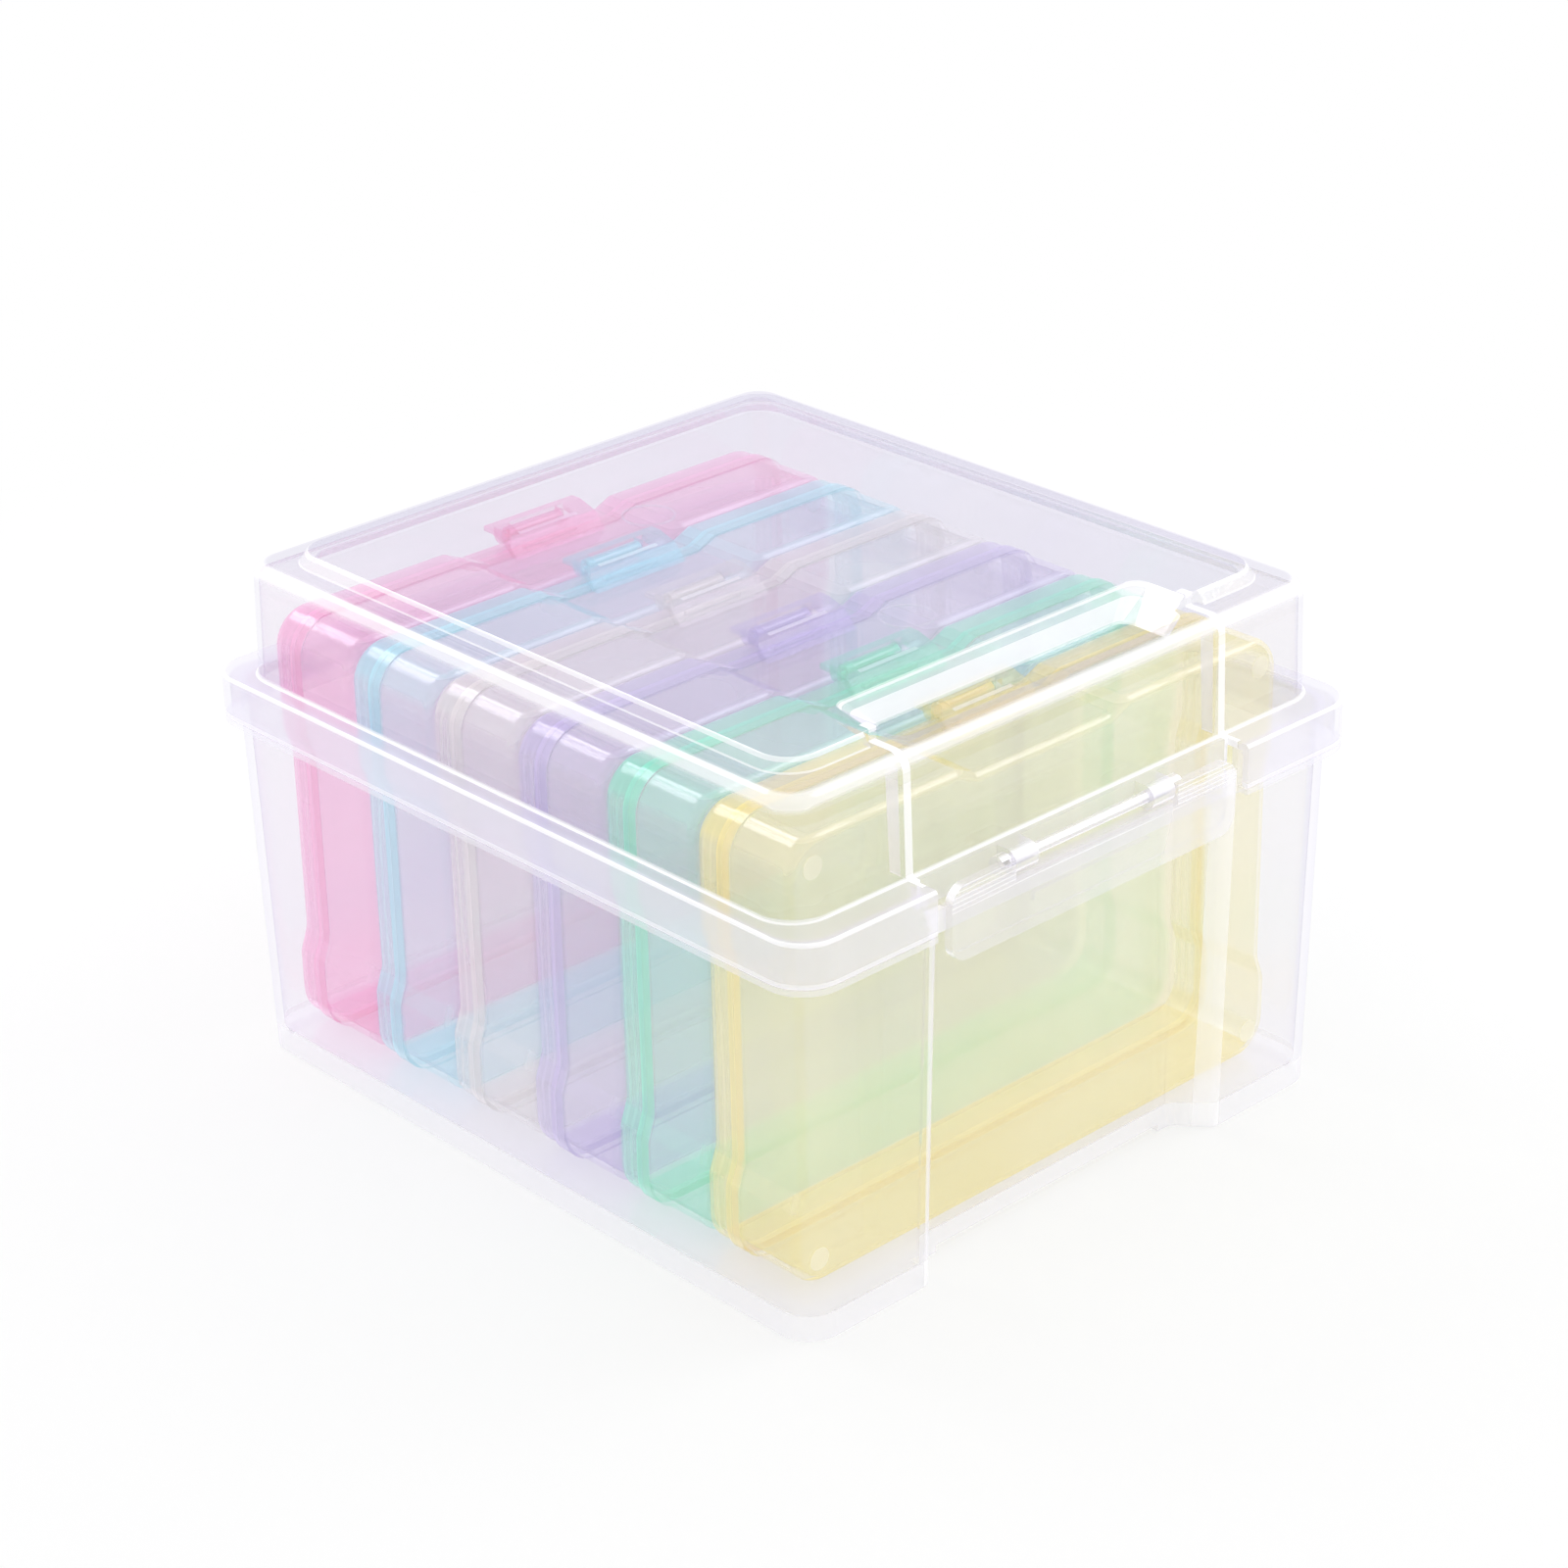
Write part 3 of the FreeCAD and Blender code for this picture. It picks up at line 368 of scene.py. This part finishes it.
def dressCase(colour):
    tints = caseLook["tints"][colour]
    pane = {**caseLook["panes"]["all"], **caseLook["panes"].get(colour, {})}
    pale = tuple(value + pane["paleness"] * (1 - value) for value in tints["thinTint"])
    faces = {"axis": "y", "tint": pale, "haze": pane["haze"]}
    zones = caseZones(colour)
    for piece, values in caseLook["pieces"].items():
        look = {**caseLook["plastic"], **tints, **values, "faces": faces, "zones": zones[piece]}
        if piece == "rear_shell":
            look["lines"] = caseLook["rearLines"]
        node = f"{colour}_{piece}"
        dress(node, mouldedPlastic(node, look), shades=False)  # thin tinted walls hardly shade


for colour in caseLook["tints"]:
    dressCase(colour)
print("cases done:", len(caseLook["tints"]))

# Faint ring marks of the mould under the lid's panel, metres
gateRings = {
    "places": {"front_gate_ring": (0.0, -0.0504, 0.1401), "rear_gate_ring": (0.0, 0.0430, 0.1401)},
    "radius": 0.0068,
    "width": 0.0006,
    "height": 0.0003,
    "steps": 72,
    # half widths out and heights up, round the section
    "section": [(-1, 0.3), (-1, 0), (-0.5, -0.8), (0, -1), (0.5, -0.8), (1, 0), (1, 0.3)],
    "look": {**boxLook, "haze": 0.08, "edgeHazeAndHighlight": 0.12},
}


def addRing(name, centre, material):
    steps, section = gateRings["steps"], gateRings["section"]
    count = len(section)
    points = []
    faces = []
    for step in range(steps):
        turn = math.tau * step / steps
        for out, rise in section:
            reach = gateRings["radius"] + out * gateRings["width"] / 2
            height = rise * gateRings["height"]
            points.append((reach * math.cos(turn), reach * math.sin(turn), height))
        here, ahead = step * count, (step + 1) % steps * count
        for side in range(count):
            across = (side + 1) % count
            faces.append((here + side, ahead + side, ahead + across, here + across))
    mesh = bpy.data.meshes.new(name)
    mesh.from_pydata(points, [], faces)
    mesh.shade_smooth()
    mesh.materials.append(material)
    ring = bpy.data.objects.new(name, mesh)
    ring.location = centre
    scene.collection.objects.link(ring)
    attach(ring, "lid")


ringPlastic = mouldedPlastic("ring_plastic", gateRings["look"])
for name, centre in gateRings["places"].items():
    addRing(name, centre, ringPlastic)
print("ring marks done:", len(gateRings["places"]))

# Camera at the photograph's place, angles in degrees
view = {
    "place": (-0.6184, -0.6720, 0.5183),
    "azimuth": -42.870,
    "elevation": 25.736,
    "roll": -1.2232,
    "lens": 91.03,
    "sensor": 36.0,
    "clip": (0.05, 60),
}


def addCamera():
    data = bpy.data.cameras.new("camera")
    data.sensor_width = view["sensor"]
    data.lens = view["lens"]
    data.clip_start, data.clip_end = view["clip"]
    camera = bpy.data.objects.new("camera", data)
    scene.collection.objects.link(camera)
    turn, rise, roll = (math.radians(view[key]) for key in ("azimuth", "elevation", "roll"))
    level = math.cos(rise)
    back = Vector((math.sin(turn) * level, -math.cos(turn) * level, math.sin(rise)))
    right = Vector((math.cos(turn), math.sin(turn), 0))
    up = back.cross(right)
    rolledRight = math.cos(roll) * right + math.sin(roll) * up
    rolledUp = math.cos(roll) * up - math.sin(roll) * right
    turnMatrix = Matrix((rolledRight, rolledUp, back)).transposed()
    camera.matrix_world = Matrix.Translation(view["place"]) @ turnMatrix.to_4x4()
    scene.camera = camera


# White studio: floor, world and soft lamps, metres and watts
studio = {
    "floorSize": 12.0,
    "floorDrop": 0.0003,
    "floorRoughness": 0.9,
    "floorLit": (0.95, 0.95, 0.95),    # paper as the light on the box meets it
    "floorSeen": (0.80, 0.80, 0.80),   # paper as the camera and the gloss see it
    "floorShade": 0.35,                # how much of the true shading the floor shows near the box
    "shadeReach": (0.2, 0.5),
    "white": 1.0,
    "lamps": [
        {"name": "rear_softbox", "place": (-0.25, 1.06, 1.2), "size": (0.65, 0.5), "power": 5.2},
        {"name": "right_softbox", "place": (0.99, -0.55, 1.12), "size": (0.7, 0.7), "power": 5.4},
    ],
    "aim": (0, 0, 0.07),
    "layers": 96,                      # clear walls that a ray may pass
}


def studioPaper():
    paper = bpy.data.materials.new("studio_paper")
    paper.use_nodes = True
    tree = paper.node_tree
    matt = tree.nodes["Principled BSDF"]
    matt.inputs["Roughness"].default_value = studio["floorRoughness"]
    glow = tree.nodes.new("ShaderNodeEmission")
    glow.inputs["Strength"].default_value = studio["white"]
    place = tree.nodes.new("ShaderNodeTexCoord").outputs["Object"]
    away = vectorNode(tree, "LENGTH", place, "Value")
    plain = spread(tree, away, 1 - studio["floorShade"], 1.0, studio["shadeReach"])
    rays = tree.nodes.new("ShaderNodeLightPath").outputs
    seen = mathNode(tree, "MAXIMUM", rays["Is Camera Ray"], rays["Is Glossy Ray"])
    colour = colourMix(tree, seen, studio["floorLit"], studio["floorSeen"])
    tree.links.new(colour, matt.inputs["Base Color"])
    white = mathNode(tree, "MULTIPLY", seen, plain)
    surface = mixShaders(tree, white, matt.outputs[0], glow.outputs[0])
    tree.links.new(surface, tree.nodes["Material Output"].inputs["Surface"])
    return paper


def addFloor():
    half = studio["floorSize"] / 2
    corners = [(-half, -half, 0), (half, -half, 0), (half, half, 0), (-half, half, 0)]
    mesh = bpy.data.meshes.new("studio_floor")
    mesh.from_pydata(corners, [], [(0, 1, 2, 3)])
    mesh.materials.append(studioPaper())
    floor = bpy.data.objects.new("studio_floor", mesh)
    floor.location.z = -studio["floorDrop"]
    scene.collection.objects.link(floor)


def addLight():
    world = bpy.data.worlds.new("studio_world")
    scene.world = world
    world.use_nodes = True
    background = world.node_tree.nodes["Background"]
    background.inputs["Color"].default_value = (1, 1, 1, 1)
    background.inputs["Strength"].default_value = studio["white"]
    for lamp in studio["lamps"]:
        data = bpy.data.lights.new(lamp["name"], "AREA")
        data.shape = "RECTANGLE"
        data.size, data.size_y = lamp["size"]
        data.energy = lamp["power"]
        light = bpy.data.objects.new(lamp["name"], data)
        scene.collection.objects.link(light)
        light.location = lamp["place"]
        aim = Vector(studio["aim"]) - Vector(lamp["place"])
        light.rotation_euler = aim.to_track_quat("-Z", "Y").to_euler()
        light.visible_camera = False


addCamera()
addFloor()
addLight()
scene.view_settings.view_transform = "Standard"
scene.cycles.transparent_max_bounces = studio["layers"]
print("camera and studio done")
